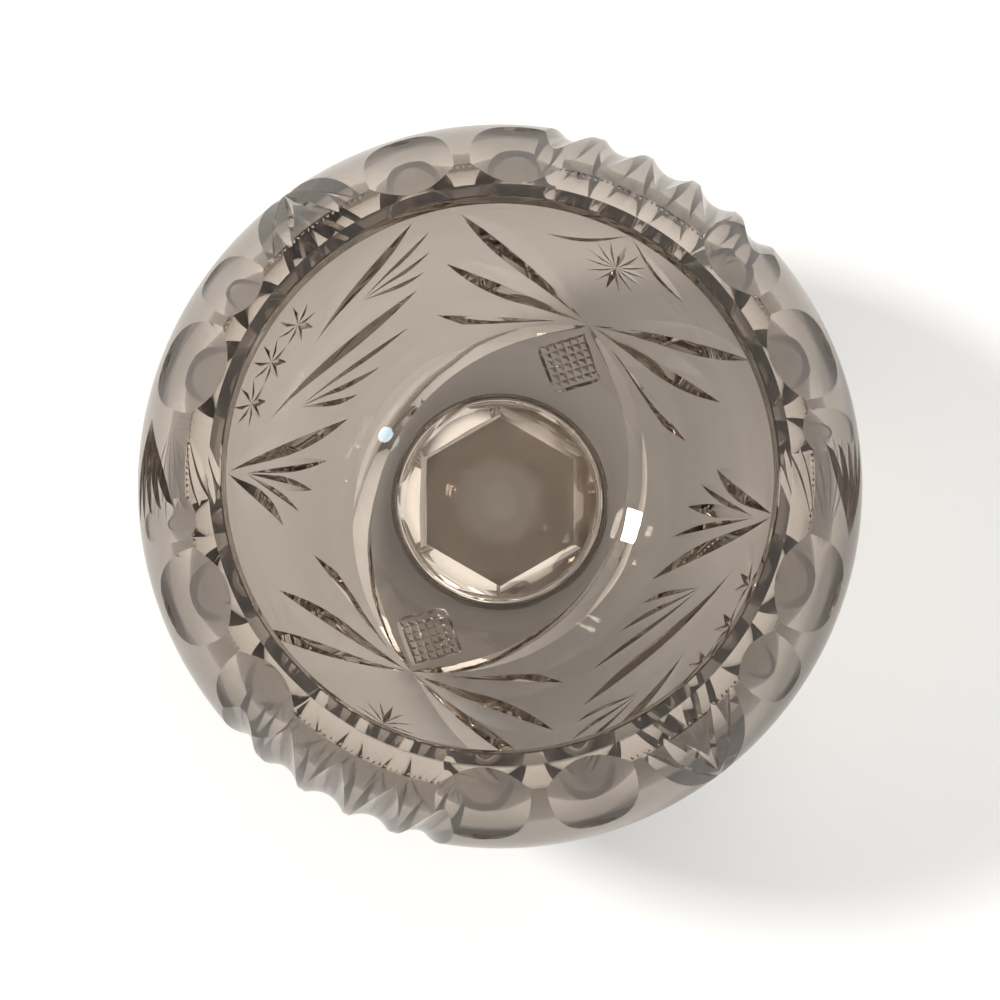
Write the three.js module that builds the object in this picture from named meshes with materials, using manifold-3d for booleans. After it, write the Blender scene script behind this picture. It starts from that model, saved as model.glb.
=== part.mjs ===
// A globular cut crystal flower vase: a blown and wheel-cut bowl on a pad foot.
// Millimetres, +Z up, the foot's resting face on z = 0, the bowl's axis on x = y = 0.
import * as THREE from "three";
import { mergeVertices } from "three/addons/utils/BufferGeometryUtils.js";
import Module from "manifold-3d";

const wasm = await Module();
wasm.setup();

// Driving sizes of the foot
const FOOT_RADIUS = 20;
const FOOT_HEIGHT = 8;
const FOOT_EDGE_HEIGHT = 2.2;
const FOOT_EDGE_BEVEL = 0.6;
const FOOT_WAIST_RADIUS = 17.5;
const DISH_RADIUS = 14;
const DISH_DEPTH = 1.2;
const PANEL_COUNT = 6;
const PANEL_FLAT = 13.8;
const PANEL_HEIGHT = 2.2;
const PANEL_UNDERCUT = 47;
const PANEL_SHELF = 1;

// Driving sizes of the bowl: the globe is an ellipse turned about the axis, cut flat at the seat and at the mouth
const GLOBE_RADIUS = 55;
const GLOBE_HALF_HEIGHT = 47;
const SEAT_RADIUS = 19;
const MOUTH_RADIUS = 42.3;
const RIM_WALL = 6;
const SIDE_WALL = 5;
const FLOOR_WALL = 7;
const RIM_CHAMFER = 1.8;

// Widths and depths of the cuts, and how far each wheel's edge sinks for its half width
const SWAG_DEPTH = 2.4;
const SWAG_HOLLOW = 0.45;
const SPRAY_LEAF_WIDTH = 6.2;
const LEAF_WIDTH = 5.2;
const LEAF_HOLLOW = 0.4;
const ARCH_WIDTH = 3.6;
const BLADE_WIDTH = 2.4;
const STAR_WIDTH = 1.5;
const HATCH_PITCH = 1.45;
const MITRE_HOLLOW = 0.69;
const FLUTE_DEPTH = 1.4;
const FLUTE_HOLLOW = 0.44;
const SCOOP_HOLLOW = 0.21;

// Places of the motifs on the globe, in degrees: azimuth round the axis, latitude from the widest line
const SPRAY_AZIMUTH = 63;
const SPRAY_LATITUDE = -51;
const SWAG_LATITUDE = -61.5;
const POINTED_ARCH_AZIMUTH = 127;
const SCOOPS = [
  { azimuth: 8, span: 8 },
  { azimuth: 22, span: 19 },
  { azimuth: 42, span: 17 },
  { azimuth: 87, span: 19 },
  { azimuth: 106.5, span: 18 },
  { azimuth: 144.5, span: 12 },
  { azimuth: 160.5, span: 19 },
];
const HALF_TURN = 180;

// Facets
const GLOBE_STEPS = 56;
const GLOBE_ROWS = 12;
const CAVITY_STEPS = 36;
const CAVITY_ROWS = 10;
const FOOT_STEPS = 32;
const PROUD = 0.35;

// Heights that follow from the sizes above
const SEAT_DROP = GLOBE_HALF_HEIGHT * Math.sqrt(1 - (SEAT_RADIUS / GLOBE_RADIUS) ** 2);
const MOUTH_RISE = GLOBE_HALF_HEIGHT * Math.sqrt(1 - (MOUTH_RADIUS / GLOBE_RADIUS) ** 2);
const GLOBE_CENTRE = FOOT_HEIGHT + SEAT_DROP;
const RIM_HEIGHT = GLOBE_CENTRE + MOUTH_RISE;
const SEAT_LATITUDE = -Math.asin(SEAT_DROP / GLOBE_HALF_HEIGHT);
const MOUTH_LATITUDE = Math.asin(MOUTH_RISE / GLOBE_HALF_HEIGHT);

const radians = THREE.MathUtils.degToRad;

// A three.js geometry as a closed solid
function solidOf(geometry) {
  const bare = new THREE.BufferGeometry();
  bare.setAttribute("position", geometry.getAttribute("position"));
  bare.setIndex(geometry.index);
  const joined = mergeVertices(bare, 1e-4);
  const index = joined.index.array;
  const corners = [];
  for (let i = 0; i < index.length; i += 3) {
    const [a, b, c] = index.slice(i, i + 3);
    if (a !== b && b !== c && c !== a) corners.push(a, b, c);
  }
  return new wasm.Manifold(
    new wasm.Mesh({
      numProp: 3,
      vertProperties: joined.getAttribute("position").array,
      triVerts: new Uint32Array(corners),
    }),
  );
}

// A closed solid as a three.js geometry
function geometryOf(solid) {
  const mesh = solid.getMesh();
  const geometry = new THREE.BufferGeometry();
  geometry.setAttribute("position", new THREE.BufferAttribute(mesh.vertProperties, 3));
  geometry.setIndex(new THREE.BufferAttribute(mesh.triVerts, 1));
  geometry.computeVertexNormals();
  return geometry;
}

// A profile of [radius, height] points turned about the axis
function turned(profile, steps) {
  const points = profile.map(([radius, height]) => new THREE.Vector2(radius, height));
  const geometry = new THREE.LatheGeometry(points, steps);
  geometry.rotateX(Math.PI / 2);
  return solidOf(geometry);
}

// The globe's outline, as [radius, height] at a latitude
function globeOutline(latitude) {
  return [GLOBE_RADIUS * Math.cos(latitude), GLOBE_CENTRE + GLOBE_HALF_HEIGHT * Math.sin(latitude)];
}

// The wall is thickest under the floor, even round the side and thins to the rim
function wallAt(latitude) {
  if (latitude < 0) return SIDE_WALL + (FLOOR_WALL - SIDE_WALL) * Math.sin(latitude) ** 2;
  return SIDE_WALL + ((RIM_WALL - SIDE_WALL) * latitude) / MOUTH_LATITUDE;
}

// The blown inside: the globe's outline moved in along its normal by the wall
function cavityOutline(latitude) {
  const [radius, height] = globeOutline(latitude);
  const out = Math.cos(latitude) / GLOBE_RADIUS;
  const up = Math.sin(latitude) / GLOBE_HALF_HEIGHT;
  const wall = wallAt(latitude) / Math.hypot(out, up);
  return [Math.max(0, radius - wall * out), height - wall * up];
}

// The uncut blank: the globe ground flat for the foot and at the mouth, with the rim's outer edge chamfered
function blank() {
  const profile = [[0, FOOT_HEIGHT]];
  for (let row = 0; row < GLOBE_ROWS; row += 1) {
    const share = row / GLOBE_ROWS;
    profile.push(globeOutline(SEAT_LATITUDE + (MOUTH_LATITUDE - SEAT_LATITUDE) * share));
  }
  const chamferLatitude = Math.asin((MOUTH_RISE - RIM_CHAMFER) / GLOBE_HALF_HEIGHT);
  profile.push(globeOutline(chamferLatitude));
  profile.push([MOUTH_RADIUS - RIM_CHAMFER, RIM_HEIGHT]);
  profile.push([0, RIM_HEIGHT]);
  return turned(profile, GLOBE_STEPS);
}

// The hollow, run straight up out of the mouth
function cavity() {
  const profile = [];
  const lowest = -Math.PI / 2;
  const highest = MOUTH_LATITUDE * 0.97;
  for (let row = 0; row <= CAVITY_ROWS; row += 1) {
    profile.push(cavityOutline(lowest + ((highest - lowest) * row) / CAVITY_ROWS));
  }
  const [mouth] = profile[profile.length - 1];
  profile.push([mouth, RIM_HEIGHT + 2]);
  profile.push([0, RIM_HEIGHT + 2]);
  return turned(profile, CAVITY_STEPS);
}

// A direction from the globe's centre, on a unit sphere, for an azimuth and a latitude in degrees
function direction(azimuth, latitude) {
  const level = Math.cos(radians(latitude));
  return new THREE.Vector3(
    level * Math.cos(radians(azimuth)),
    level * Math.sin(radians(azimuth)),
    Math.sin(radians(latitude)),
  );
}

// The point of the globe's face in that direction, and its outward normal
function facePoint(unit) {
  return new THREE.Vector3(
    GLOBE_RADIUS * unit.x,
    GLOBE_RADIUS * unit.y,
    GLOBE_CENTRE + GLOBE_HALF_HEIGHT * unit.z,
  );
}

function faceNormal(unit) {
  return new THREE.Vector3(
    unit.x / GLOBE_RADIUS,
    unit.y / GLOBE_RADIUS,
    unit.z / GLOBE_HALF_HEIGHT,
  ).normalize();
}

// A path over the face from one [azimuth, latitude] to another, bowed sideways by a share of its length
function sweep(start, end, bow = 0) {
  const from = direction(...start);
  const to = direction(...end);
  const side = new THREE.Vector3().crossVectors(from, to).normalize();
  const reach = bow * from.distanceTo(to);
  return (t) =>
    from
      .clone()
      .lerp(to, t)
      .addScaledVector(side, reach * Math.sin(Math.PI * t))
      .normalize();
}

// How a cut swells along its length, from 0 at its start to 0 at its end
const leafSwell = (t) => Math.sin(Math.PI * t ** 1.35);
const evenSwell = (t) => Math.sin(Math.PI * t);
const ovalSwell = (t) => Math.sqrt(1 - (2 * t - 1) ** 2);
const longSwell = (t) => Math.min(1, 6 * t, 6 * (1 - t));

// The edge of a V wheel, one unit to each side
function vEdge(hollow) {
  return [
    [-1, 0],
    [0, hollow],
    [1, 0],
  ];
}

// The edge of a round wheel, one unit to each side
function roundEdge(hollow) {
  const spots = [-1, -0.5, 0, 0.5, 1];
  return spots.map((u) => [u, hollow * (1 - u * u)]);
}

// The glass that a wheel takes away along a path over the face; the wheel stands proud of the face
function wheelCut(path, { depth, hollow, edge = vEdge, swell = leafSwell, stations = 6 }) {
  const ends = [0, 1].map((t) => {
    const unit = path(t);
    return facePoint(unit).addScaledVector(faceNormal(unit), PROUD);
  });
  const section = edge(hollow);
  const ring = section.length;
  const points = [ends[0], ends[1]];
  for (let i = 1; i < stations; i += 1) {
    const t = i / stations;
    const unit = path(t);
    const ahead = facePoint(path(Math.min(1, t + 0.01)));
    const behind = facePoint(path(Math.max(0, t - 0.01)));
    const normal = faceNormal(unit);
    const across = normal.clone().cross(ahead.sub(behind)).normalize();
    const reach = (swell(t) * depth + PROUD) / hollow;
    for (const [u, v] of section) {
      const spot = facePoint(unit).addScaledVector(across, u * reach);
      points.push(spot.addScaledVector(normal, PROUD - v * reach));
    }
  }
  const corners = [];
  const first = 2;
  const last = first + ring * (stations - 2);
  for (let k = 0; k < ring; k += 1) {
    const next = (k + 1) % ring;
    corners.push(0, first + next, first + k);
    corners.push(1, last + k, last + next);
    for (let i = 0; i < stations - 2; i += 1) {
      const a = first + i * ring;
      const b = a + ring;
      corners.push(a + k, a + next, b + next);
      corners.push(a + k, b + next, b + k);
    }
  }
  const geometry = new THREE.BufferGeometry().setFromPoints(points);
  geometry.setIndex(corners);
  return solidOf(geometry);
}

// A cut of the steep V wheel, and one of the broad V wheel that leaves two flat faces along a midrib
function mitre(path, width, more = {}) {
  return wheelCut(path, { depth: (width / 2) * MITRE_HOLLOW, hollow: MITRE_HOLLOW, ...more });
}

function leaf(path, width) {
  return wheelCut(path, { depth: (width / 2) * LEAF_HOLLOW, hollow: LEAF_HOLLOW, stations: 7 });
}

// Two wide curved cuts hang between the spray tips and close a pointed oval round the foot
function swagCuts(turn) {
  const span = 90;
  const middle = SPRAY_AZIMUTH + span + turn;
  const path = (t) => {
    const reach = 2 * t - 1;
    const rise = (SPRAY_LATITUDE - SWAG_LATITUDE) * Math.abs(reach) ** 2.2;
    return direction(middle + span * reach, SWAG_LATITUDE + rise);
  };
  const swell = (t) => Math.sin(Math.PI * t) ** 0.6;
  return [wheelCut(path, { depth: SWAG_DEPTH, hollow: SWAG_HOLLOW, swell, stations: 18 })];
}

// Six leaves spread from each spray tip, three to a side
function sprayCuts(turn) {
  const tip = [SPRAY_AZIMUTH + turn, SPRAY_LATITUDE];
  const leafEnds = [
    [35, -27],
    [40, -40],
    [46, -51],
  ];
  const cuts = [];
  for (const side of [-1, 1]) {
    for (const [reach, latitude] of leafEnds) {
      cuts.push(leaf(sweep(tip, [tip[0] + side * reach, latitude]), SPRAY_LEAF_WIDTH));
    }
  }
  return cuts;
}

// Three bunches of leaves swirl one after another between the sprays
function bunchCuts(turn) {
  const bunches = [
    {
      vertex: [175.5, -30.5],
      leaves: [
        [152, -56],
        [187.5, -45.5],
      ],
      start: [175, -36],
      blades: [
        [167.5, -55],
        [177.5, -52.5],
        [184, -49.5],
      ],
    },
    {
      vertex: [162.5, -39],
      leaves: [[111.5, -44]],
      start: [156, -45],
      blades: [
        [118, -51],
        [132, -54.5],
        [143.5, -55],
      ],
    },
    {
      vertex: [141, -40],
      leaves: [[108, -26.5]],
      start: [125.5, -40],
      blades: [
        [105, -30.5],
        [106, -36],
        [108.5, -40.5],
      ],
    },
  ];
  const moved = ([azimuth, latitude]) => [azimuth + turn, latitude];
  const cuts = [];
  for (const { vertex, leaves, start, blades } of bunches) {
    for (const end of leaves) cuts.push(leaf(sweep(moved(vertex), moved(end)), LEAF_WIDTH));
    for (const end of blades) cuts.push(mitre(sweep(moved(start), moved(end)), BLADE_WIDTH));
  }
  return cuts;
}

// A star of crossing mitres at one place on the face
function starCuts(azimuth, latitude, radius, lines, width) {
  const cuts = [];
  const tall = (radius / GLOBE_RADIUS) * (180 / Math.PI);
  const wide = tall / Math.cos(radians(latitude));
  for (let line = 0; line < lines; line += 1) {
    const turn = (Math.PI * (line + 0.5)) / lines;
    const run = wide * Math.cos(turn);
    const rise = tall * Math.sin(turn);
    const path = sweep([azimuth - run, latitude - rise], [azimuth + run, latitude + rise]);
    cuts.push(mitre(path, width, { swell: evenSwell, stations: 4 }));
  }
  return cuts;
}

// One large star under a pointed arch above each spray
function archCuts(turn) {
  const azimuth = SPRAY_AZIMUTH + turn;
  const apex = [azimuth, -25];
  const cuts = starCuts(azimuth, -35, 6.2, 7, STAR_WIDTH);
  for (const side of [-1, 1]) {
    cuts.push(mitre(sweep(apex, [azimuth + side * 17, -32.5], -side * 0.08), BLADE_WIDTH));
  }
  return cuts;
}

// A diamond of crossed grooves hangs under each spray tip
function hatchCuts(turn) {
  const azimuth = SPRAY_AZIMUTH + turn;
  const latitude = -59.5;
  const lines = 7;
  const half = (HATCH_PITCH * (lines - 1)) / 2 + 0.5;
  const unit = direction(azimuth, latitude);
  const centre = facePoint(unit);
  const east = new THREE.Vector3(-unit.y, unit.x, 0).normalize();
  const north = new THREE.Vector3().crossVectors(faceNormal(unit), east);
  const onFace = (u, v) => {
    const spot = centre.clone().addScaledVector(east, u).addScaledVector(north, v);
    return new THREE.Vector3(
      spot.x / GLOBE_RADIUS,
      spot.y / GLOBE_RADIUS,
      (spot.z - GLOBE_CENTRE) / GLOBE_HALF_HEIGHT,
    ).normalize();
  };
  const cuts = [];
  for (let line = 0; line < lines; line += 1) {
    const offset = HATCH_PITCH * (line - (lines - 1) / 2);
    for (const lean of [-1, 1]) {
      const path = (t) => {
        const along = half * (2 * t - 1);
        return onFace((along - offset) * Math.SQRT1_2, lean * (along + offset) * Math.SQRT1_2);
      };
      cuts.push(mitre(path, HATCH_PITCH * 0.95, { swell: longSwell, stations: 3 }));
    }
  }
  return cuts;
}

// A fan of hollow flutes climbs the side above each spray and scallops its outline
function fluteCuts(turn) {
  const azimuth = SPRAY_AZIMUTH - 2 + turn;
  return [-2, -1, 0, 1, 2].map((reach) => {
    const path = sweep([azimuth + 5.5 * reach, -24], [azimuth + 10.5 * reach, 33]);
    return wheelCut(path, { depth: FLUTE_DEPTH, hollow: FLUTE_HOLLOW, edge: roundEdge, stations: 8 });
  });
}

// Broad oval scoops stand under the rim, bite into its outer edge and leave it scalloped
function scoopCuts(turn) {
  return SCOOPS.map(({ azimuth, span }) => {
    const half = radians(span / 2) * GLOBE_RADIUS * Math.cos(radians(30));
    const depth = Math.hypot(PROUD / 2, SCOOP_HOLLOW * half) - PROUD / 2;
    const path = sweep([azimuth + turn, 18], [azimuth + turn, 47]);
    return wheelCut(path, { depth, hollow: SCOOP_HOLLOW, edge: roundEdge, swell: ovalSwell, stations: 7 });
  });
}

// A small fan of leaves lies on its side between the scoops
function sideFanCuts(turn) {
  const vertex = [-10 + turn, 21];
  return [13, 18, 23, 28, 33].map((latitude) =>
    mitre(sweep(vertex, [7 + turn, latitude]), BLADE_WIDTH),
  );
}

// Pointed arches, one inside the other, stand on the shoulder with their feet at the rim
function pointedArchCuts(turn) {
  const azimuth = POINTED_ARCH_AZIMUTH + turn;
  const arches = [
    { apex: 5, spread: 11 },
    { apex: 14, spread: 6 },
  ];
  const cuts = [];
  for (const { apex, spread } of arches) {
    for (const side of [-1, 1]) {
      const path = sweep([azimuth, apex], [azimuth + side * spread, 40]);
      cuts.push(mitre(path, ARCH_WIDTH, { swell: evenSwell }));
    }
  }
  return cuts;
}

// The bowl: the blank, hollowed and then cut on the wheels, each motif twice, half a turn apart
function bowl() {
  const motifs = [
    swagCuts,
    sprayCuts,
    bunchCuts,
    archCuts,
    hatchCuts,
    fluteCuts,
    scoopCuts,
    sideFanCuts,
    pointedArchCuts,
  ];
  let solid = blank().subtract(cavity());
  for (const turn of [0, HALF_TURN]) {
    for (const motif of motifs) {
      for (const cut of motif(turn)) solid = solid.subtract(cut);
    }
  }
  return solid;
}

// A grinding stone's V edge, long enough to flatten one panel: its shelf below and its undercut above
function panelStone() {
  const depth = 12;
  const half = 30;
  const section = new THREE.Shape([
    new THREE.Vector2(PANEL_FLAT, PANEL_HEIGHT),
    new THREE.Vector2(PANEL_FLAT + depth, PANEL_HEIGHT - depth * Math.tan(radians(PANEL_SHELF))),
    new THREE.Vector2(PANEL_FLAT + depth, PANEL_HEIGHT + depth * Math.tan(radians(PANEL_UNDERCUT))),
  ]);
  const stone = new THREE.ExtrudeGeometry(section, { depth: 2 * half, bevelEnabled: false });
  stone.translate(0, 0, -half);
  stone.rotateX(Math.PI / 2);
  return stone;
}

// The pad foot: a second gather of glass, with a ground dish below and flat panels ground round its stem
function padFoot() {
  const profile = [];
  const dishSteps = 5;
  for (let step = 0; step <= dishSteps; step += 1) {
    const share = step / dishSteps;
    profile.push([DISH_RADIUS * share, DISH_DEPTH * (1 - share * share)]);
  }
  profile.push([FOOT_RADIUS - FOOT_EDGE_BEVEL, 0]);
  profile.push([FOOT_RADIUS, FOOT_EDGE_BEVEL]);
  profile.push([FOOT_RADIUS, FOOT_EDGE_HEIGHT]);
  const coveSteps = 5;
  for (let step = 1; step < coveSteps; step += 1) {
    const share = step / coveSteps;
    const straight = FOOT_RADIUS + (SEAT_RADIUS - FOOT_RADIUS) * share;
    const draw = (FOOT_RADIUS + SEAT_RADIUS) / 2 - FOOT_WAIST_RADIUS;
    const height = FOOT_EDGE_HEIGHT + (FOOT_HEIGHT - FOOT_EDGE_HEIGHT) * share;
    profile.push([straight - draw * Math.sin(Math.PI * share), height]);
  }
  profile.push([SEAT_RADIUS, FOOT_HEIGHT]);
  profile.push([0, FOOT_HEIGHT]);
  let solid = turned(profile, FOOT_STEPS);
  for (let panel = 0; panel < PANEL_COUNT; panel += 1) {
    const stone = panelStone();
    stone.rotateZ((2 * Math.PI * panel) / PANEL_COUNT);
    solid = solid.subtract(solidOf(stone));
  }
  return solid;
}

// One named mesh for each piece of glass
function glassPiece(name, solid) {
  const crystal = new THREE.MeshStandardMaterial({ color: 0xd6d0c8, roughness: 0.05, metalness: 0 });
  const mesh = new THREE.Mesh(geometryOf(solid), crystal);
  mesh.name = name;
  return mesh;
}

const vase = new THREE.Group();
vase.add(glassPiece("bowl", bowl()));
vase.add(glassPiece("pad_foot", padFoot()));

export default vase;
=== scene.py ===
import math

import bmesh
import bpy
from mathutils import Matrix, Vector


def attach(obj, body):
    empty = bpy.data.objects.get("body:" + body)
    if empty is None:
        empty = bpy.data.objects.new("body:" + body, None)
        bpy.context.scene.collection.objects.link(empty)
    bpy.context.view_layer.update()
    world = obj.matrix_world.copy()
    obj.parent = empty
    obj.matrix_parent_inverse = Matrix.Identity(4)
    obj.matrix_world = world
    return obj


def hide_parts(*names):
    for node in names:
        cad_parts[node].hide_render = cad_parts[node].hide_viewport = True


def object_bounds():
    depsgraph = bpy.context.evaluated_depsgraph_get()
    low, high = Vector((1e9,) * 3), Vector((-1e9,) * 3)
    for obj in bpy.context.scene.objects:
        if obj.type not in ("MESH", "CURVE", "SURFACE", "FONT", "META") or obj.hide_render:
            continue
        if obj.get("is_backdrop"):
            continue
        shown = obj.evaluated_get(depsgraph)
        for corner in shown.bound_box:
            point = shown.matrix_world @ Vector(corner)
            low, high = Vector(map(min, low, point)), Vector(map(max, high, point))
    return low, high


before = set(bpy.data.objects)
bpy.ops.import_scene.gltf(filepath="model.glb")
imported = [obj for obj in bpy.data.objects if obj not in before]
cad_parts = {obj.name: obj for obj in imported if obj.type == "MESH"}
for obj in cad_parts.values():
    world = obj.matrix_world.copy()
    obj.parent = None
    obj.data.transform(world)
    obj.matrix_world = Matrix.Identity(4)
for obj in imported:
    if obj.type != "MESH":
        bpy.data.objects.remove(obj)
cad_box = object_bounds()

# Bowl
# The bowl is a thick globe of blown lead crystal, ground flat at the mouth and where the foot joins it.
# All its decoration is cut into the outside on turning wheels: V edges for the swags, leaves, stars, arches,
# crossed grooves and the teeth round the rim, and round edges for the flutes and scoops.
MM = 0.001
SEAT_HEIGHT = 8 * MM
GLOBE_RADIUS = 55 * MM
GLOBE_HALF_HEIGHT = 47 * MM
SEAT_RADIUS = 19 * MM
WELD_RADIUS = 18.6 * MM
MOUTH_RADIUS = 42.3 * MM
RIM_WALL = 6 * MM
SIDE_WALL = 5 * MM
FLOOR_WALL = 7 * MM
RIM_CHAMFER = 1.8 * MM
RIM_ROUNDING = 0.25 * MM
GLOBE_STEPS = 192
OUTSIDE_ROWS = 84
CHAMFER_ROWS = 4
INSIDE_ROWS = 56
# The middle point of a rounding lies this share of the rounding in from each face
ROUNDING_MIDDLE = 0.3

SEAT_DROP = GLOBE_HALF_HEIGHT * math.sqrt(1 - (SEAT_RADIUS / GLOBE_RADIUS) ** 2)
MOUTH_RISE = GLOBE_HALF_HEIGHT * math.sqrt(1 - (MOUTH_RADIUS / GLOBE_RADIUS) ** 2)
GLOBE_CENTRE = SEAT_HEIGHT + SEAT_DROP
RIM_HEIGHT = GLOBE_CENTRE + MOUTH_RISE
SEAT_LATITUDE = -math.asin(SEAT_DROP / GLOBE_HALF_HEIGHT)
MOUTH_LATITUDE = math.asin(MOUTH_RISE / GLOBE_HALF_HEIGHT)
CHAMFER_LATITUDE = math.asin((MOUTH_RISE - RIM_CHAMFER) / GLOBE_HALF_HEIGHT)
HOLLOW_TOP_LATITUDE = 0.97 * MOUTH_LATITUDE
HOLLOW_FLOOR_LATITUDE = -math.pi / 2


def globe_outline(latitude):
    """Radius and height of the globe's outside at a latitude in radians."""
    return GLOBE_RADIUS * math.cos(latitude), GLOBE_CENTRE + GLOBE_HALF_HEIGHT * math.sin(latitude)


def hollow_outline(latitude):
    """Radius and height of the blown inside, one wall in from the outside."""
    if latitude < 0:
        wall = SIDE_WALL + (FLOOR_WALL - SIDE_WALL) * math.sin(latitude) ** 2
    else:
        wall = SIDE_WALL + (RIM_WALL - SIDE_WALL) * latitude / MOUTH_LATITUDE
    radius, height = globe_outline(latitude)
    out = math.cos(latitude) / GLOBE_RADIUS
    up = math.sin(latitude) / GLOBE_HALF_HEIGHT
    share = wall / math.hypot(out, up)
    return max(0, radius - share * out), height - share * up


def between(start, end, count):
    """Evenly spaced numbers from start up to, but not including, end."""
    return [start + (end - start) * step / count for step in range(count)]


def turned_mesh(name, profile, steps):
    """A closed mesh of a profile of (radius, height) turned about the axis; radius 0 makes a pole."""
    shape = bmesh.new()
    rings = []
    for radius, height in profile:
        if radius == 0:
            rings.append([shape.verts.new((0, 0, height))])
            continue
        ring = []
        for step in range(steps):
            turn = 2 * math.pi * step / steps
            ring.append(shape.verts.new((radius * math.cos(turn), radius * math.sin(turn), height)))
        rings.append(ring)
    for low, high in zip(rings, rings[1:]):
        for step in range(steps):
            after = (step + 1) % steps
            if len(low) == 1:
                shape.faces.new((low[0], high[after], high[step]))
            elif len(high) == 1:
                shape.faces.new((low[step], low[after], high[0]))
            else:
                shape.faces.new((low[step], low[after], high[after], high[step]))
    mesh = bpy.data.meshes.new(name)
    shape.to_mesh(mesh)
    shape.free()
    return mesh


def bowl_profile():
    """The blank's section, from the axis under the seat, up the outside, over the rim and down the inside."""
    profile = [(0, SEAT_HEIGHT)]
    profile.append((WELD_RADIUS, SEAT_HEIGHT))
    outside = between(SEAT_LATITUDE, CHAMFER_LATITUDE, OUTSIDE_ROWS)
    profile += [globe_outline(latitude) for latitude in outside]
    profile.append(globe_outline(CHAMFER_LATITUDE))
    chamfer_foot = Vector(profile[-1])
    chamfer_head = Vector((MOUTH_RADIUS - RIM_CHAMFER, RIM_HEIGHT))
    chamfer_shares = between(0, 1, CHAMFER_ROWS)[1:]
    profile += [tuple(chamfer_foot.lerp(chamfer_head, share)) for share in chamfer_shares]
    profile.append(tuple(chamfer_head))
    mouth = hollow_outline(HOLLOW_TOP_LATITUDE)[0]
    inset = RIM_ROUNDING * ROUNDING_MIDDLE
    profile.append((mouth + RIM_ROUNDING, RIM_HEIGHT))
    profile.append((mouth + inset, RIM_HEIGHT - inset))
    profile.append((mouth, RIM_HEIGHT - RIM_ROUNDING))
    inside = between(HOLLOW_TOP_LATITUDE, HOLLOW_FLOOR_LATITUDE, INSIDE_ROWS)
    profile += [hollow_outline(latitude) for latitude in inside]
    profile.append((0, hollow_outline(HOLLOW_FLOOR_LATITUDE)[1]))
    return profile


def direction(azimuth, latitude):
    """A unit direction from the globe's centre: degrees round the axis, and degrees above the widest line."""
    level = math.cos(math.radians(latitude))
    turn = math.radians(azimuth)
    return Vector((level * math.cos(turn), level * math.sin(turn), math.sin(math.radians(latitude))))


def face_point(unit):
    """The point of the globe's outside in a direction."""
    return Vector((GLOBE_RADIUS * unit.x, GLOBE_RADIUS * unit.y, GLOBE_CENTRE + GLOBE_HALF_HEIGHT * unit.z))


def face_normal(unit):
    """The outward normal of the globe's outside in a direction."""
    return Vector((unit.x / GLOBE_RADIUS, unit.y / GLOBE_RADIUS, unit.z / GLOBE_HALF_HEIGHT)).normalized()


def sweep(start, end, bow=0):
    """A path over the face between two (azimuth, latitude) places, bowed by a share of its length."""
    first = direction(*start)
    last = direction(*end)
    side = first.cross(last).normalized()
    reach = bow * (last - first).length
    return lambda t: (first.lerp(last, t) + side * reach * math.sin(math.pi * t)).normalized()


# How a cut swells along its length, from its start at 0 to its end at 1
LEAF_SKEW = 1.35
SWAG_FULLNESS = 0.6
GROOVE_TAPER = 6


def leaf_swell(t):
    return math.sin(math.pi * t ** LEAF_SKEW)


def even_swell(t):
    return math.sin(math.pi * t)


def oval_swell(t):
    return math.sqrt(max(0, 1 - (2 * t - 1) ** 2))


def groove_swell(t):
    return min(1, GROOVE_TAPER * t, GROOVE_TAPER * (1 - t))


def swag_swell(t):
    return max(0, math.sin(math.pi * t)) ** SWAG_FULLNESS


def through_swell(t):
    return 1


# The wheels run this far above the glass, so that each cut opens cleanly at the face.
# Where a cut ends, the wheel's tip is just clear of the glass.
PROUD = 0.35 * MM
TIP_CLEARANCE = 0.01 * MM
# A wheel's hollow is the depth of its edge for each unit of half its width
LEAF_HOLLOW = 0.52
MITRE_HOLLOW = 0.69


def wheel_reach(depth, swell, hollow):
    """Half the width of a wheel's edge at the height the wheel runs at, for a cut that swells to a depth."""
    return (swell * depth + PROUD - TIP_CLEARANCE) / hollow


def path_mesh(name, cuts):
    """Edge chains along the cuts' paths, each point with the wheel's reach and the face's normal."""
    points = []
    edges = []
    reaches = []
    normals = []
    for path, reach, stations in cuts:
        for station in range(stations + 1):
            t = station / stations
            unit = path(t)
            normal = face_normal(unit)
            if station:
                edges.append((len(points) - 1, len(points)))
            points.append(face_point(unit) + normal * PROUD)
            reaches.append(reach(t))
            normals.extend(normal)
    mesh = bpy.data.meshes.new(name)
    mesh.from_pydata(points, edges, [])
    mesh.attributes.new("wheel_reach", "FLOAT", "POINT").data.foreach_set("value", reaches)
    mesh.attributes.new("face_normal", "FLOAT_VECTOR", "POINT").data.foreach_set("vector", normals)
    return mesh


# The places of the motifs are in degrees: round the axis, and above the widest line.
# The ends of a spray's leaves are counted round from the spray's tip.
SPRAY_AZIMUTH = 63
SPRAY_LATITUDE = -51
SPRAY_LEAF_ENDS = [(35, -27), (40, -40), (46, -51)]
SPRAY_LEAF_WIDTH = 6.2 * MM
LEAF_WIDTH = 5.4 * MM
BLADE_WIDTH = 2.4 * MM
LEAF_STATIONS = 20


def mitre_cut(path, width, swell=leaf_swell, stations=14):
    """One cut of the steep V wheel: its path, the wheel's reach along it and its number of stations."""
    return path, lambda t: wheel_reach(width / 2 * MITRE_HOLLOW, swell(t), MITRE_HOLLOW), stations


def leaf_cut(path, width):
    """One cut of the broad V wheel, which leaves two flat faces along a midrib."""
    return path, lambda t: wheel_reach(width / 2 * LEAF_HOLLOW, leaf_swell(t), LEAF_HOLLOW), LEAF_STATIONS


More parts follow.
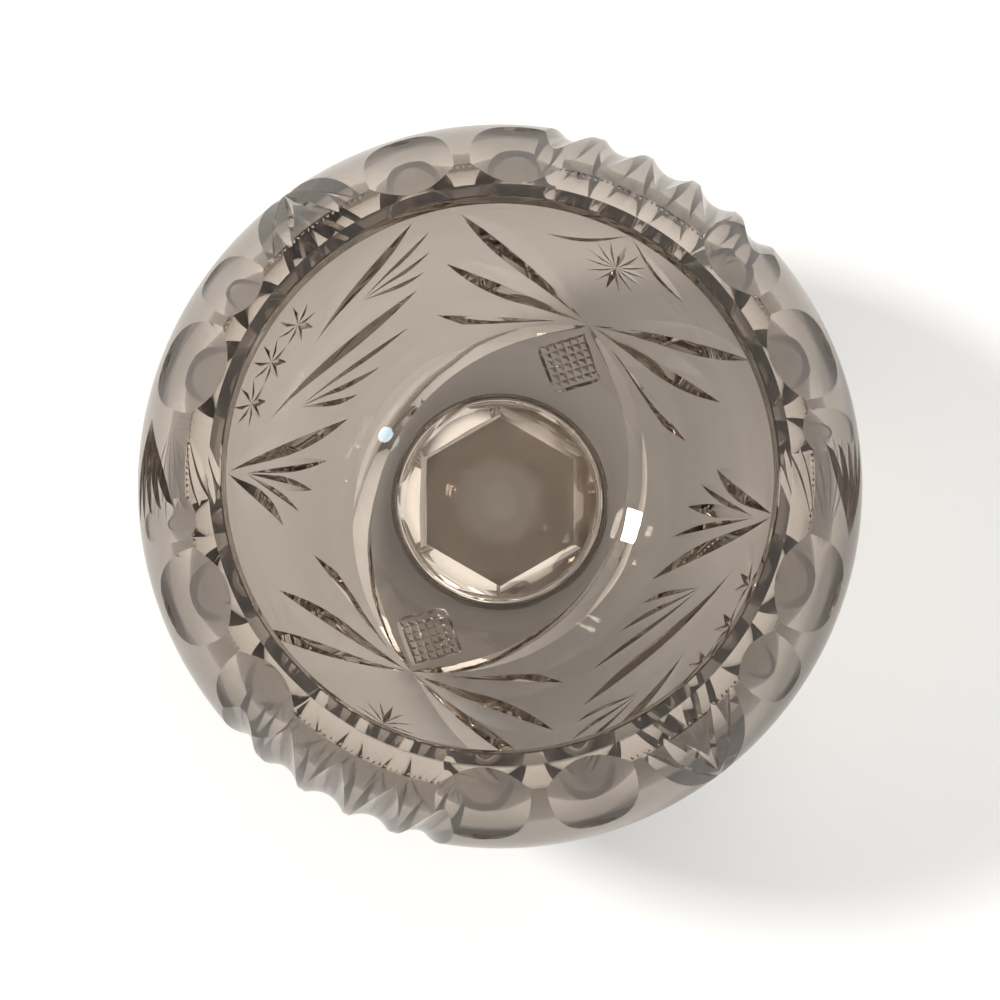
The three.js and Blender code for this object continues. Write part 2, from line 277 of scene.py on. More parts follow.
def spray_cuts(turn):
    """Six leaves that spread from each spray tip, three to a side."""
    tip = (SPRAY_AZIMUTH + turn, SPRAY_LATITUDE)
    cuts = []
    for side in (-1, 1):
        for reach, latitude in SPRAY_LEAF_ENDS:
            cuts.append(leaf_cut(sweep(tip, (tip[0] + side * reach, latitude)), SPRAY_LEAF_WIDTH))
    return cuts


# Each bunch: where its leaves start, where they end, where its blades start and where they end
BUNCHES = [
    ((175.5, -30.5), [(152, -56), (187.5, -45.5)], (175, -36), [(167.5, -55), (177.5, -52.5), (184, -49.5)]),
    ((162.5, -39), [(111.5, -44)], (156, -45), [(118, -51), (132, -54.5), (143.5, -55)]),
    ((141, -40), [(108, -26.5)], (125.5, -40), [(105, -30.5), (106, -36), (108.5, -40.5)]),
]


def bunch_leaf_cuts(turn):
    """The long leaves of three bunches that swirl one after another between the sprays."""
    cuts = []
    for vertex, leaf_ends, _, _ in BUNCHES:
        for azimuth, latitude in leaf_ends:
            path = sweep((vertex[0] + turn, vertex[1]), (azimuth + turn, latitude))
            cuts.append(leaf_cut(path, LEAF_WIDTH))
    return cuts


def bunch_blade_cuts(turn):
    """The narrow blades inside each bunch."""
    cuts = []
    for _, _, start, blade_ends in BUNCHES:
        for azimuth, latitude in blade_ends:
            path = sweep((start[0] + turn, start[1]), (azimuth + turn, latitude))
            cuts.append(mitre_cut(path, BLADE_WIDTH))
    return cuts


STAR_LATITUDE = -35
STAR_RADIUS = 6.2 * MM
STAR_LINES = 7
STAR_WIDTH = 1.5 * MM
STAR_ARCH_TOP = -25
STAR_ARCH_FOOT = -32.5
STAR_ARCH_SPREAD = 17
STAR_ARCH_BOW = 0.08
ROW_AZIMUTHS = (140, 150, 160)
ROW_LATITUDE = -32.5
ROW_STAR_RADIUS = 4.4 * MM
ROW_STAR_LINES = 4
ROW_STAR_WIDTH = 2.0 * MM


def star_cuts(azimuth, latitude, radius, lines, width):
    """A star of V cuts that cross at one place on the face."""
    tall = math.degrees(radius / GLOBE_RADIUS)
    wide = tall / math.cos(math.radians(latitude))
    cuts = []
    for line in range(lines):
        turn = math.pi * (line + 0.5) / lines
        run = wide * math.cos(turn)
        rise = tall * math.sin(turn)
        path = sweep((azimuth - run, latitude - rise), (azimuth + run, latitude + rise))
        cuts.append(mitre_cut(path, width, even_swell, stations=8))
    return cuts


def arch_cuts(turn):
    """One large star under a pointed arch above each spray."""
    azimuth = SPRAY_AZIMUTH + turn
    cuts = star_cuts(azimuth, STAR_LATITUDE, STAR_RADIUS, STAR_LINES, STAR_WIDTH)
    for side in (-1, 1):
        foot = (azimuth + side * STAR_ARCH_SPREAD, STAR_ARCH_FOOT)
        path = sweep((azimuth, STAR_ARCH_TOP), foot, -side * STAR_ARCH_BOW)
        cuts.append(mitre_cut(path, BLADE_WIDTH))
    return cuts


def star_row_cuts(turn):
    """A row of three small stars above the swirling leaves."""
    cuts = []
    for azimuth in ROW_AZIMUTHS:
        cuts += star_cuts(azimuth + turn, ROW_LATITUDE, ROW_STAR_RADIUS, ROW_STAR_LINES, ROW_STAR_WIDTH)
    return cuts


HATCH_LATITUDE = -59.5
HATCH_LINES = 7
HATCH_PITCH = 1.45 * MM
HATCH_WIDTH = 0.95 * HATCH_PITCH
HATCH_OVERRUN = 0.5 * MM
DIAGONAL = math.sqrt(0.5)


def hatch_cuts(turn):
    """A diamond of crossed grooves that hangs under each spray tip."""
    half = HATCH_PITCH * (HATCH_LINES - 1) / 2 + HATCH_OVERRUN
    unit = direction(SPRAY_AZIMUTH + turn, HATCH_LATITUDE)
    centre = face_point(unit)
    east = Vector((-unit.y, unit.x, 0)).normalized()
    north = face_normal(unit).cross(east)

    def groove(offset, lean):
        def path(t):
            along = half * (2 * t - 1)
            across = (along - offset) * DIAGONAL
            up = lean * (along + offset) * DIAGONAL
            spot = centre + east * across + north * up
            height = (spot.z - GLOBE_CENTRE) / GLOBE_HALF_HEIGHT
            return Vector((spot.x / GLOBE_RADIUS, spot.y / GLOBE_RADIUS, height)).normalized()

        return path

    cuts = []
    for line in range(HATCH_LINES):
        offset = HATCH_PITCH * (line - (HATCH_LINES - 1) / 2)
        for lean in (-1, 1):
            cuts.append(mitre_cut(groove(offset, lean), HATCH_WIDTH, groove_swell, stations=12))
    return cuts


FAN_START = (-10, 21)
FAN_END = 7
FAN_LATITUDES = (13, 18, 23, 28, 33)


def side_fan_cuts(turn):
    """A small fan of blades that lies on its side between the scoops."""
    start = (turn + FAN_START[0], FAN_START[1])
    return [mitre_cut(sweep(start, (turn + FAN_END, latitude)), BLADE_WIDTH) for latitude in FAN_LATITUDES]


POINTED_ARCH_AZIMUTH = 127
POINTED_ARCH_END = 40
POINTED_ARCH_WIDTH = 3.6 * MM
# Each arch: the latitude of its point, and half its spread at the rim
POINTED_ARCHES = [(5, 11), (14, 6)]


def pointed_arch_cuts(turn):
    """Pointed arches of V cuts, one inside the other, with their points on the shoulder, open at the rim."""
    azimuth = POINTED_ARCH_AZIMUTH + turn
    cuts = []
    for point, spread in POINTED_ARCHES:
        for side in (-1, 1):
            path = sweep((azimuth, point), (azimuth + side * spread, POINTED_ARCH_END))
            cuts.append(mitre_cut(path, POINTED_ARCH_WIDTH, even_swell))
    return cuts


SWAG_LATITUDE = -61.5
SWAG_DEPTH = 3.0 * MM
SWAG_HOLLOW = 0.58
SWAG_CURVE = 2.2
SWAG_STATIONS = 72
QUARTER_TURN = 90


def swag_cut(turn):
    """One of the two wide curved cuts between the spray tips, which close a pointed oval round the foot."""

    def path(t):
        reach = 2 * t - 1
        latitude = SWAG_LATITUDE + (SPRAY_LATITUDE - SWAG_LATITUDE) * abs(reach) ** SWAG_CURVE
        return direction(SPRAY_AZIMUTH + QUARTER_TURN + turn + QUARTER_TURN * reach, latitude)

    return path, lambda t: wheel_reach(SWAG_DEPTH, swag_swell(t), SWAG_HOLLOW), SWAG_STATIONS


FLUTE_SHIFT = -2
FLUTE_FOOT = -24
FLUTE_TOP = 33
FLUTE_FOOT_PITCH = 5.5
FLUTE_TOP_PITCH = 10.5
FLUTE_DEPTH = 1.4 * MM
FLUTE_HOLLOW = 0.44
FLUTE_STATIONS = 24


def flute_reach(t):
    """The flute wheel's reach along a flute."""
    return wheel_reach(FLUTE_DEPTH, leaf_swell(t), FLUTE_HOLLOW)


def flute_cuts(turn):
    """A fan of five hollow flutes that climbs the side above each spray and scallops its outline."""
    cuts = []
    azimuth = SPRAY_AZIMUTH + FLUTE_SHIFT + turn
    for flute in (-2, -1, 0, 1, 2):
        foot = (azimuth + FLUTE_FOOT_PITCH * flute, FLUTE_FOOT)
        top = (azimuth + FLUTE_TOP_PITCH * flute, FLUTE_TOP)
        cuts.append((sweep(foot, top), flute_reach, FLUTE_STATIONS))
    return cuts


SCOOP_FOOT = 18
SCOOP_TOP = 47
SCOOP_WIDEST = 30
SCOOP_HOLLOW = 0.21
SCOOP_STATIONS = 28
# Each scoop: its place round the axis, and how much of the turn it spans
SCOOPS = [(8, 8), (22, 19), (42, 17), (87, 19), (106.5, 18), (144.5, 12), (160.5, 19)]


def scoop_cuts(turn):
    """Broad oval scoops that stand under the rim, bite into its outer edge and leave it scalloped."""
    cuts = []
    for azimuth, span in SCOOPS:
        half = math.radians(span / 2) * GLOBE_RADIUS * math.cos(math.radians(SCOOP_WIDEST))
        depth = math.sqrt((PROUD / 2) ** 2 + (SCOOP_HOLLOW * half) ** 2) - PROUD / 2
        path = sweep((azimuth + turn, SCOOP_FOOT), (azimuth + turn, SCOOP_TOP))

        def reach(t, depth=depth):
            return wheel_reach(depth, oval_swell(t), SCOOP_HOLLOW)

        cuts.append((path, reach, SCOOP_STATIONS))
    return cuts


def v_edge(hollow):
    """The outline of a V wheel's edge, one unit to each side."""
    return [(-1, 0), (0, hollow), (1, 0)]


def round_edge(hollow, spots):
    """The outline of a round wheel's edge, one unit to each side."""
    across = [2 * spot / spots - 1 for spot in range(spots + 1)]
    return [(place, hollow * (1 - place * place)) for place in across]


def wheel_edge_mesh(name, outline):
    """A closed loop of a wheel's edge as Curve to Mesh sweeps it: x out of the glass, y across the cut."""
    mesh = bpy.data.meshes.new(name)
    points = [(-depth, -across, 0) for across, depth in outline]
    sides = [(spot, (spot + 1) % len(points)) for spot in range(len(points))]
    mesh.from_pydata(points, sides, [])
    return mesh


CREASE_ANGLE = math.radians(14)


def cutting_tree(name, tools):
    """A node tree for cutting a blank with named tools, and the identifiers of its inputs."""
    tree = bpy.data.node_groups.new(name, "GeometryNodeTree")
    tree.interface.new_socket(name="Glass", in_out="OUTPUT", socket_type="NodeSocketGeometry")
    kinds = {"Blank": "NodeSocketGeometry"}
    for tool in tools:
        kinds[tool] = "NodeSocketObject"
    kinds["Crease Angle"] = "NodeSocketFloat"
    kinds["Crystal"] = "NodeSocketMaterial"
    inputs = {}
    for label, kind in kinds.items():
        inputs[label] = tree.interface.new_socket(name=label, in_out="INPUT", socket_type=kind).identifier
    return tree, inputs


def take_away(tree, cutters, given, result):
    """Cuts the blank, shades it smooth but for its creases, and gives it its crystal."""
    node = tree.nodes.new
    link = tree.links.new
    taken = node("GeometryNodeMeshBoolean")
    taken.operation = "DIFFERENCE"
    taken.solver = "MANIFOLD"
    link(given["Blank"], taken.inputs["Mesh 1"])
    link(cutters, taken.inputs["Mesh 2"])
    real = node("GeometryNodeRealizeInstances")
    link(taken.outputs["Mesh"], real.inputs["Geometry"])
    smooth = node("GeometryNodeSetShadeSmooth")
    smooth.domain = "FACE"
    link(real.outputs["Geometry"], smooth.inputs["Geometry"])
    angle = node("GeometryNodeInputMeshEdgeAngle")
    sharp = node("FunctionNodeCompare")
    sharp.operation = "GREATER_THAN"
    link(angle.outputs["Unsigned Angle"], sharp.inputs["A"])
    link(given["Crease Angle"], sharp.inputs["B"])
    creased = node("GeometryNodeSetShadeSmooth")
    creased.domain = "EDGE"
    creased.inputs["Shade Smooth"].default_value = False
    link(smooth.outputs["Geometry"], creased.inputs["Geometry"])
    link(sharp.outputs["Result"], creased.inputs["Selection"])
    painted = node("GeometryNodeSetMaterial")
    link(creased.outputs["Geometry"], painted.inputs["Geometry"])
    link(given["Crystal"], painted.inputs["Material"])
    link(painted.outputs["Geometry"], result)


def wheel_tree():
    """Takes away from the bowl what a wheel's edge sweeps out along every path of a paths object."""
    tree, inputs = cutting_tree("wheel cutting", ("Cut Paths", "Wheel Edge"))
    node = tree.nodes.new
    link = tree.links.new
    given = node("NodeGroupInput").outputs
    result = node("NodeGroupOutput").inputs

    paths = node("GeometryNodeObjectInfo")
    link(given["Cut Paths"], paths.inputs["Object"])
    path_curves = node("GeometryNodeMeshToCurve")
    link(paths.outputs["Geometry"], path_curves.inputs["Mesh"])
    normals = node("GeometryNodeInputNamedAttribute")
    normals.data_type = "FLOAT_VECTOR"
    normals.inputs["Name"].default_value = "face_normal"
    upright = node("GeometryNodeSetCurveNormal")
    upright.mode = "FREE"
    link(path_curves.outputs["Curve"], upright.inputs["Curve"])
    link(normals.outputs["Attribute"], upright.inputs["Normal"])

    edge = node("GeometryNodeObjectInfo")
    link(given["Wheel Edge"], edge.inputs["Object"])
    edge_curve = node("GeometryNodeMeshToCurve")
    link(edge.outputs["Geometry"], edge_curve.inputs["Mesh"])
    reaches = node("GeometryNodeInputNamedAttribute")
    reaches.data_type = "FLOAT"
    reaches.inputs["Name"].default_value = "wheel_reach"
    swept = node("GeometryNodeCurveToMesh")
    link(upright.outputs["Curve"], swept.inputs["Curve"])
    link(edge_curve.outputs["Curve"], swept.inputs["Profile Curve"])
    link(reaches.outputs["Attribute"], swept.inputs["Scale"])
    swept.inputs["Fill Caps"].default_value = True

    island = node("GeometryNodeInputMeshIsland")
    single_cuts = node("GeometryNodeSplitToInstances")
    single_cuts.domain = "FACE"
    link(swept.outputs["Mesh"], single_cuts.inputs["Geometry"])
    link(island.outputs["Island Index"], single_cuts.inputs["Group ID"])
    take_away(tree, single_cuts.outputs["Instances"], given, result["Glass"])
    return tree, inputs


CRYSTAL_IOR = 1.54
# The tint at distances from the middle of the seat is painted shade: nearly clear over the base, darker round
# the foot, deepest on the shoulder under the rim, lighter at the rim
BAND_REACH = 90 * MM
PAINTED_SHADE_BANDS = [
    (16 * MM, (0.92, 0.872, 0.82)),
    (20 * MM, (0.70, 0.66, 0.618)),
    (30 * MM, (0.70, 0.663, 0.623)),
    (42 * MM, (0.70, 0.665, 0.628)),
    (58 * MM, (0.63, 0.594, 0.557)),
    (72 * MM, (0.48, 0.446, 0.412)),
    (77 * MM, (0.48, 0.446, 0.412)),
    (83 * MM, (0.76, 0.715, 0.668)),
]
PAINTED_MIRROR_SHADE_GAMMA = 0.38
NOISE_MIDDLE = 0.5
STREAK_SCALE = 28
STREAK_SHIFT = 6 * MM
POLISH_SCALE = 160
POLISH_ROUGHNESS = 0.006
WAVE_SCALE = 55
WAVE_STRENGTH = 0.35
WAVE_HEIGHT = 0.4 * MM


def crystal_material(name):
    """Lead crystal, hand polished and slightly wavy, with a warm grey tint of painted shade that changes away
    from the seat.

    Light that bends through a face takes the painted shade, and light that a face mirrors takes a paler copy
    of it.
    """
    material = bpy.data.materials.new(name)
    material.use_nodes = True
    nodes = material.node_tree.nodes
    link = material.node_tree.links.new
    nodes.remove(nodes["Principled BSDF"])
    place = nodes.new("ShaderNodeTexCoord").outputs["Object"]

    def noise(scale, detail):
        """A cloudy pattern through the glass."""
        node = nodes.new("ShaderNodeTexNoise")
        node.inputs["Scale"].default_value = scale
        node.inputs["Detail"].default_value = detail
        link(place, node.inputs["Vector"])
        return node.outputs["Fac"]

    bent = nodes.new("ShaderNodeBsdfRefraction")
    bent.inputs["IOR"].default_value = CRYSTAL_IOR
    mirrored = nodes.new("ShaderNodeBsdfGlossy")
    mirror_share = nodes.new("ShaderNodeFresnel")
    mirror_share.inputs["IOR"].default_value = CRYSTAL_IOR
    surface = nodes.new("ShaderNodeMixShader")
    link(mirror_share.outputs["Fac"], surface.inputs["Fac"])
    link(bent.outputs["BSDF"], surface.inputs[1])
    link(mirrored.outputs["BSDF"], surface.inputs[2])
    link(surface.outputs["Shader"], nodes["Material Output"].inputs["Surface"])

    from_seat = nodes.new("ShaderNodeVectorMath")
    from_seat.operation = "DISTANCE"
    from_seat.inputs[1].default_value = (0, 0, SEAT_HEIGHT)
    link(place, from_seat.inputs[0])
    evened = nodes.new("ShaderNodeMath")
    evened.operation = "SUBTRACT"
    evened.inputs[1].default_value = NOISE_MIDDLE
    link(noise(STREAK_SCALE, detail=2), evened.inputs[0])
    swirled = nodes.new("ShaderNodeMath")
    swirled.operation = "MULTIPLY_ADD"
    swirled.inputs[1].default_value = STREAK_SHIFT
    link(evened.outputs["Value"], swirled.inputs[0])
    link(from_seat.outputs["Value"], swirled.inputs[2])
    rise = nodes.new("ShaderNodeMapRange")
    rise.inputs["From Max"].default_value = BAND_REACH
    link(swirled.outputs["Value"], rise.inputs["Value"])
    # Painted shade: this ramp darkens the glass away from the seat and lightens it again at the rim
    painted_shade_ramp = nodes.new("ShaderNodeValToRGB")
    stops = painted_shade_ramp.color_ramp.elements
    stops.remove(stops[1])
    for band, (distance, colour) in enumerate(PAINTED_SHADE_BANDS):
        stop = stops.new(distance / BAND_REACH) if band else stops[0]
        stop.position = distance / BAND_REACH
        stop.color = (*colour, 1)
    link(rise.outputs["Result"], painted_shade_ramp.inputs["Fac"])
    link(painted_shade_ramp.outputs["Color"], bent.inputs["Color"])
    # Mirrored light takes a paler copy of the painted shade
    paler_painted_shade = nodes.new("ShaderNodeGamma")
    paler_painted_shade.inputs["Gamma"].default_value = PAINTED_MIRROR_SHADE_GAMMA
    link(painted_shade_ramp.outputs["Color"], paler_painted_shade.inputs["Color"])
    link(paler_painted_shade.outputs["Color"], mirrored.inputs["Color"])

    polish = nodes.new("ShaderNodeMapRange")
    polish.inputs["To Max"].default_value = POLISH_ROUGHNESS
    link(noise(POLISH_SCALE, detail=3), polish.inputs["Value"])
    link(polish.outputs["Result"], bent.inputs["Roughness"])
    link(polish.outputs["Result"], mirrored.inputs["Roughness"])

    wave = nodes.new("ShaderNodeBump")
    wave.inputs["Strength"].default_value = WAVE_STRENGTH
    wave.inputs["Distance"].default_value = WAVE_HEIGHT
    link(noise(WAVE_SCALE, detail=1), wave.inputs["Height"])
    for wavy in (bent, mirrored, mirror_share):
        link(wave.outputs["Normal"], wavy.inputs["Normal"])
    return material


def weld_material():
    """Where the two gathers of hot glass run into one: no air between them, so light passes straight on."""
    material = bpy.data.materials.new("hot weld")
    material.use_nodes = True
    nodes = material.node_tree.nodes
    clear = nodes.new("ShaderNodeBsdfTransparent")
    material.node_tree.links.new(clear.outputs["BSDF"], nodes["Material Output"].inputs["Surface"])
    return material


crystal = crystal_material("lead crystal")
weld = weld_material()


def add_object(name, mesh):
    """An object at the origin, in the scene."""
    made = bpy.data.objects.new(name, mesh)
    bpy.context.scene.collection.objects.link(made)
    return made


def add_cutting(piece, name, cutting, tools):
    """Puts a cutting tree on a piece, with the tools that it cuts with."""
    tree, inputs = cutting
    step = piece.modifiers.new(name, "NODES")
    step.node_group = tree
    for label, tool in tools.items():
        step[inputs[label]] = tool
    step[inputs["Crease Angle"]] = CREASE_ANGLE
    step[inputs["Crystal"]] = crystal


def settle(piece):
    """Turns a piece's modifiers into a plain mesh and takes them away."""
    evaluated = piece.evaluated_get(bpy.context.evaluated_depsgraph_get())
    finished = bpy.data.meshes.new_from_object(evaluated)
    piece.modifiers.clear()
    piece.data = finished


def weld_seat(piece, material):
    """Gives the faces that lie in the seat's plane, inside the weld's circle, the weld."""
    nearly_level = 0.999
    nearly_there = 0.001 * MM
    piece.data.materials.append(material)
    for face in piece.data.polygons:
        level = abs(face.normal.z) > nearly_level
        seated = abs(face.center.z - SEAT_HEIGHT) < nearly_there
        if level and seated and face.center.xy.length < WELD_RADIUS:
            face.material_index = len(piece.data.materials) - 1


TEETH = 320
TOOTH_WIDTH = 0.85 * MM
TOOTH_BELOW = 2.6
TOOTH_ABOVE = 1.5


def tooth_cut(azimuth):
    """One of the fine V cuts across the rim's outer edge."""
    rim = math.degrees(MOUTH_LATITUDE)
    path = sweep((azimuth, rim - TOOTH_BELOW), (azimuth, rim + TOOTH_ABOVE))
    return mitre_cut(path, TOOTH_WIDTH, through_swell, stations=2)


mitre_cuts = []
leaf_cuts = []
swag_cuts = []
flutes = []
scoops = []
for half_turn in (0, 180):
    for motif in (bunch_blade_cuts, arch_cuts, star_row_cuts, hatch_cuts, side_fan_cuts, pointed_arch_cuts):
        mitre_cuts += motif(half_turn)
    leaf_cuts += spray_cuts(half_turn) + bunch_leaf_cuts(half_turn)
    swag_cuts.append(swag_cut(half_turn))
    flutes += flute_cuts(half_turn)
    scoops += scoop_cuts(half_turn)
for tooth in range(TEETH):
    mitre_cuts.append(tooth_cut(360 * tooth / TEETH))

cut_bowl = add_object("cut_bowl", turned_mesh("cut_bowl", bowl_profile(), GLOBE_STEPS))
wheel_cutting = wheel_tree()
wheels = [
    ("swag wheel", swag_cuts, v_edge(SWAG_HOLLOW)),
    ("leaf wheel", leaf_cuts, v_edge(LEAF_HOLLOW)),
    ("flute wheel", flutes, round_edge(FLUTE_HOLLOW, spots=16)),
    ("scoop wheel", scoops, round_edge(SCOOP_HOLLOW, spots=24)),
    ("mitre wheel", mitre_cuts, v_edge(MITRE_HOLLOW)),
]
templates = []
for wheel, cuts, edge in wheels:
    paths = add_object(wheel + " paths", path_mesh(wheel + " paths", cuts))
    outline = add_object(wheel + " edge", wheel_edge_mesh(wheel + " edge", edge))
    templates += [paths, outline]
    add_cutting(cut_bowl, wheel, wheel_cutting, {"Cut Paths": paths, "Wheel Edge": outline})
settle(cut_bowl)
for template in templates:
    bpy.data.objects.remove(template)
weld_seat(cut_bowl, weld)
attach(cut_bowl, "root")
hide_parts("bowl")

# Foot
# The foot is a second, solid gather of the same crystal, stuck under the globe while both were hot.
# It is turned with a waist above its round edge, ground with six broad flat panels round that waist, and
# ground hollow below so that it stands on a ring.
FOOT_RADIUS = 20 * MM
FOOT_EDGE_HEIGHT = 2.2 * MM
FOOT_EDGE_BEVEL = 0.6 * MM
FOOT_WAIST_RADIUS = 17.5 * MM
DISH_RADIUS = 14 * MM
DISH_DEPTH = 1.2 * MM
PANEL_COUNT = 6
PANEL_FLAT = 13.8 * MM
PANEL_HEIGHT = 2.2 * MM
PANEL_UNDERCUT = math.radians(47)
PANEL_SHELF = math.radians(1)
PANEL_WANDER = math.radians(2.6)
PANEL_STEEPEST = math.radians(150)
STONE_DEPTH = 12 * MM
STONE_HALF_LENGTH = 30 * MM
SEAM_GAP = 0.1 * MM
FOOT_STEPS = 180
DISH_ROWS = 20
WAIST_ROWS = 20


def foot_profile():
    """The foot's section, from the middle of the dish out over the edge and up the waist to the seat."""
    profile = []
    for row in range(DISH_ROWS + 1):
        share = row / DISH_ROWS
        profile.append((DISH_RADIUS * share, DISH_DEPTH * (1 - share * share)))
    inset = FOOT_EDGE_BEVEL * ROUNDING_MIDDLE
    profile.append((FOOT_RADIUS - FOOT_EDGE_BEVEL, 0))
    profile.append((FOOT_RADIUS - inset, inset))
    profile.append((FOOT_RADIUS, FOOT_EDGE_BEVEL))
    profile.append((FOOT_RADIUS, FOOT_EDGE_HEIGHT))
    draw = (FOOT_RADIUS + SEAT_RADIUS) / 2 - FOOT_WAIST_RADIUS
    top = SEAT_HEIGHT - SEAM_GAP
    for row in range(1, WAIST_ROWS + 1):
        share = row / WAIST_ROWS
        straight = FOOT_RADIUS + (SEAT_RADIUS - FOOT_RADIUS) * share
        height = FOOT_EDGE_HEIGHT + (top - FOOT_EDGE_HEIGHT) * share
        profile.append((straight - draw * math.sin(math.pi * share), height))
    profile.append((WELD_RADIUS, top))
    profile.append((WELD_RADIUS, SEAT_HEIGHT))
    profile.append((0, SEAT_HEIGHT))
    return profile


def panel_stone():
    """A grinding stone's V edge, long enough to flatten one panel: its shelf below and its undercut above."""
    edge = (0, 0)
    top = (STONE_DEPTH, STONE_DEPTH * math.tan(PANEL_UNDERCUT))
    bottom = (STONE_DEPTH, -STONE_DEPTH * math.tan(PANEL_SHELF))
    points = []
    for end in (-STONE_HALF_LENGTH, STONE_HALF_LENGTH):
        points += [(out, end, up) for out, up in (edge, top, bottom)]
    faces = [(0, 2, 1), (3, 4, 5), (0, 1, 4, 3), (1, 2, 5, 4), (2, 0, 3, 5)]
    mesh = bpy.data.meshes.new("panel stone")
    mesh.from_pydata(points, [], faces)
    return mesh


def panel_mesh():
    """One point for each panel, with the stone's turn round the axis and its lean.

    The lean changes a little from panel to panel, as it does when they are ground by hand.
    """
    spots = []
    turns = []
    for panel in range(PANEL_COUNT):
        turn = 2 * math.pi * panel / PANEL_COUNT
        spots.append((PANEL_FLAT * math.cos(turn), PANEL_FLAT * math.sin(turn), PANEL_HEIGHT))
        turns.extend((0, -PANEL_WANDER * math.cos(turn - PANEL_STEEPEST), turn))
    mesh = bpy.data.meshes.new("panel places")
    mesh.from_pydata(spots, [], [])
    mesh.attributes.new("stone_turn", "FLOAT_VECTOR", "POINT").data.foreach_set("vector", turns)
    return mesh


def panel_tree():
    """Grinds a ring of flat panels round the foot with one stone."""
    tree, inputs = cutting_tree("panel cutting", ("Panel Places", "Stone"))
    node = tree.nodes.new
    link = tree.links.new
    given = node("NodeGroupInput").outputs
    result = node("NodeGroupOutput").inputs
    places = node("GeometryNodeObjectInfo")
    link(given["Panel Places"], places.inputs["Object"])
    turns = node("GeometryNodeInputNamedAttribute")
    turns.data_type = "FLOAT_VECTOR"
    turns.inputs["Name"].default_value = "stone_turn"
    facing = node("FunctionNodeEulerToRotation")
    link(turns.outputs["Attribute"], facing.inputs["Euler"])
    stone = node("GeometryNodeObjectInfo")
    link(given["Stone"], stone.inputs["Object"])
    placed = node("GeometryNodeInstanceOnPoints")
    link(places.outputs["Geometry"], placed.inputs["Points"])
    link(stone.outputs["Geometry"], placed.inputs["Instance"])
    link(facing.outputs["Rotation"], placed.inputs["Rotation"])
    take_away(tree, placed.outputs["Instances"], given, result["Glass"])
    return tree, inputs


stone = add_object("panel stone", panel_stone())
panel_places = add_object("panel places", panel_mesh())
foot = add_object("foot", turned_mesh("foot", foot_profile(), FOOT_STEPS))
add_cutting(foot, "panels", panel_tree(), {"Panel Places": panel_places, "Stone": stone})
settle(foot)
bpy.data.objects.remove(stone)
bpy.data.objects.remove(panel_places)
weld_seat(foot, weld)
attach(foot, "root")
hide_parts("pad_foot")

# Floor
# A plain pale sheet of matt paper that the vase stands on.
# It lies a hair below the foot, so that the two faces don't share a plane.
FLOOR_HALF = 2.0
FLOOR_DROP = 0.2 * MM
FLOOR_COLOUR = (0.93, 0.925, 0.92)
FLOOR_ROUGHNESS = 0.9
FLOOR_SHEEN = 0.1
floor_mesh = bpy.data.meshes.new("floor")
corners = []
for x, y in ((-1, -1), (1, -1), (1, 1), (-1, 1)):
    corners.append((FLOOR_HALF * x, FLOOR_HALF * y, -FLOOR_DROP))
floor_mesh.from_pydata(corners, [], [(0, 1, 2, 3)])
floor = add_object("floor", floor_mesh)
sheet = bpy.data.materials.new("pale sheet")
sheet.use_nodes = True
sheet_shader = sheet.node_tree.nodes["Principled BSDF"]
sheet_shader.inputs["Base Color"].default_value = (*FLOOR_COLOUR, 1)
sheet_shader.inputs["Roughness"].default_value = FLOOR_ROUGHNESS
sheet_shader.inputs["Specular IOR Level"].default_value = FLOOR_SHEEN
floor_mesh.materials.append(sheet)
floor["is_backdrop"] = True


# Light
# A soft key lamp up to the left, a small round lamp on the right and a broad weak one at the back.
# The pale room is brighter on the right and dimmer overhead, apart from a small bright patch.
def soft_lamp(name, place, aim, size, power, colour, shape="SQUARE"):
    """An area lamp that looks at a point."""
    lamp = bpy.data.lights.new(name, "AREA")
    lamp.shape = shape
    lamp.size = size
    lamp.energy = power
    lamp.color = colour
    holder = bpy.data.objects.new(name, lamp)
    holder.location = place
    holder.rotation_euler = (Vector(aim) - Vector(place)).to_track_quat("-Z", "Y").to_euler()
    bpy.context.scene.collection.objects.link(holder)


VASE_MIDDLE = (0, 0, 0.04)
VASE_FOOT = (0, 0, 0.01)
WARM_WHITE = (1, 0.97, 0.93)
PALE_BLUE = (0.6, 0.85, 1)
SOFT_WHITE = (1, 0.98, 0.95)
soft_lamp("key lamp", (-0.66, 0.20, 0.78), VASE_MIDDLE, size=0.16, power=7, colour=WARM_WHITE)
soft_lamp("side lamp", (0.55, -0.25, 0.80), VASE_MIDDLE, size=0.08, power=0.3, colour=PALE_BLUE, shape="DISK")
soft_lamp("back lamp", (0.33, 0.70, 0.42), VASE_FOOT, size=0.6, power=2.2, colour=SOFT_WHITE)

ROOM_COLOUR = (1, 0.985, 0.965)
BRIGHT_SIDE = (0.93, -0.2, 0.3)
OVERHEAD = (0, 0, 1)
BRIGHT_PATCH = (0, 0.06, 0.998)
room = bpy.data.worlds.new("room")
room.use_nodes = True
bpy.context.scene.world = room
room_nodes = room.node_tree.nodes
room_link = room.node_tree.links.new
room_light = room_nodes["Background"]
heading = room_nodes.new("ShaderNodeTexCoord")


def room_dot(towards):
    """How far a direction of the room agrees with another, from -1 to 1."""
    node = room_nodes.new("ShaderNodeVectorMath")
    node.operation = "DOT_PRODUCT"
    node.inputs[1].default_value = towards
    room_link(heading.outputs["Generated"], node.inputs[0])
    return node.outputs["Value"]


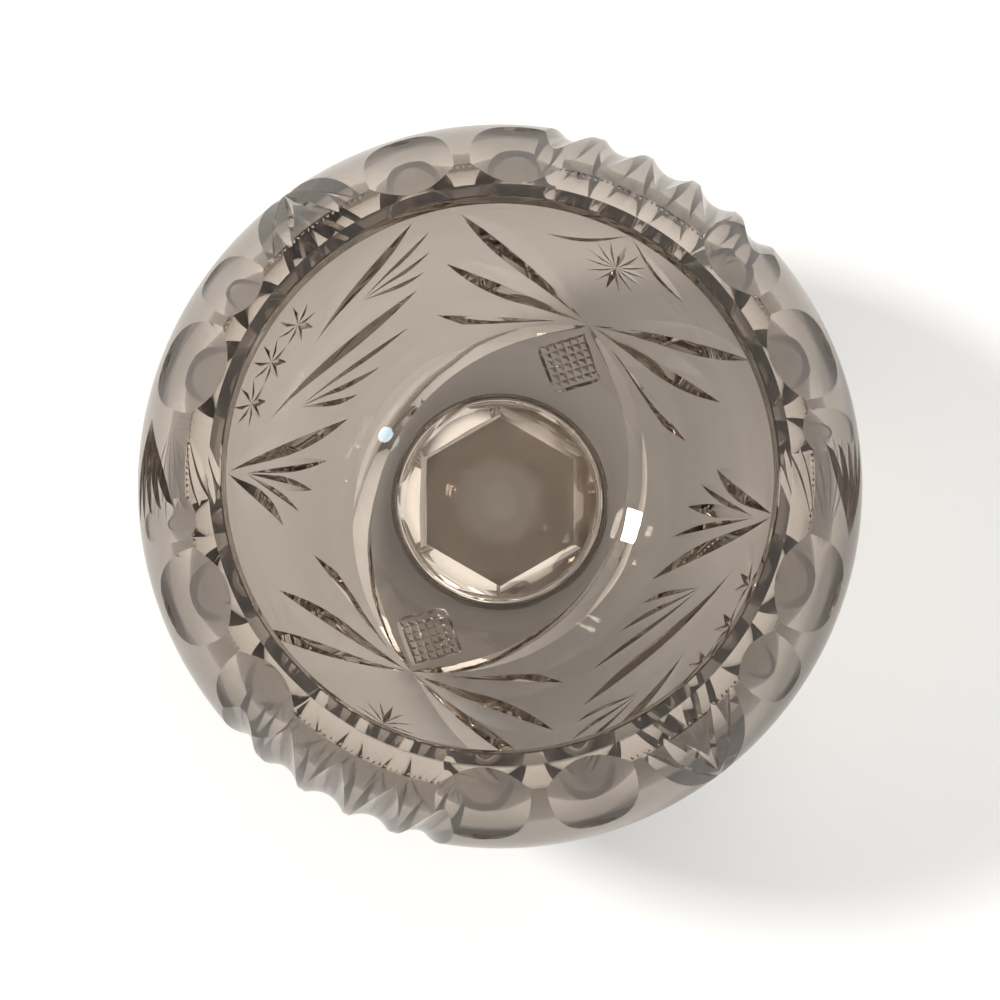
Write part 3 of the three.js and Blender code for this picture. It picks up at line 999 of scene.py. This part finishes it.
def room_glow(heart, start, end, outside, inside):
    """One strength of light away from a direction and another close to it, with a slow change between."""
    node = room_nodes.new("ShaderNodeMapRange")
    node.inputs["From Min"].default_value = start
    node.inputs["From Max"].default_value = end
    node.inputs["To Min"].default_value = outside
    node.inputs["To Max"].default_value = inside
    room_link(room_dot(heart), node.inputs["Value"])
    return node.outputs["Result"]


side_glow = room_glow(BRIGHT_SIDE, start=-0.9, end=0.95, outside=0.5, inside=1.2)
overhead = room_glow(OVERHEAD, start=0.7, end=0.95, outside=1.0, inside=0.35)
patch = room_glow(BRIGHT_PATCH, start=0.97, end=0.985, outside=0, inside=0.9)
room_strength = room_nodes.new("ShaderNodeMath")
room_strength.operation = "MULTIPLY_ADD"
room_link(side_glow, room_strength.inputs[0])
room_link(overhead, room_strength.inputs[1])
room_link(patch, room_strength.inputs[2])
room_link(room_strength.outputs["Value"], room_light.inputs["Strength"])
room_light.inputs["Color"].default_value = (*ROOM_COLOUR, 1)

# Camera
# It looks almost straight down into the mouth, a little from the front.
# Light may cross many faces, because cut glass sends it on from one to the next.
SENSOR_WIDTH = 36.0
FOCAL_LENGTH = 72.3
NEAREST = 0.01
EYE = Vector((0, -0.0188, 0.360))
TARGET = Vector((0, -0.0025, 0.058))
GLASS_BOUNCES = 32
camera_data = bpy.data.cameras.new("camera")
camera_data.lens = FOCAL_LENGTH
camera_data.sensor_width = SENSOR_WIDTH
camera_data.clip_start = NEAREST
camera = bpy.data.objects.new("camera", camera_data)
camera.location = EYE
camera.rotation_euler = (TARGET - EYE).to_track_quat("-Z", "Y").to_euler()
bpy.context.scene.collection.objects.link(camera)
bpy.context.scene.camera = camera
bpy.context.scene.view_settings.view_transform = "Standard"
bpy.context.scene.cycles.max_bounces = GLASS_BOUNCES
bpy.context.scene.cycles.transmission_bounces = GLASS_BOUNCES
bpy.context.scene.cycles.glossy_bounces = GLASS_BOUNCES
bpy.context.scene.cycles.caustics_reflective = False

# Size
# The CAD model's box and the dressed vase's box, side by side.
boxes = {"cad": cad_box, "visual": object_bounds()}
{name: [list(corner) for corner in box] for name, box in boxes.items()}
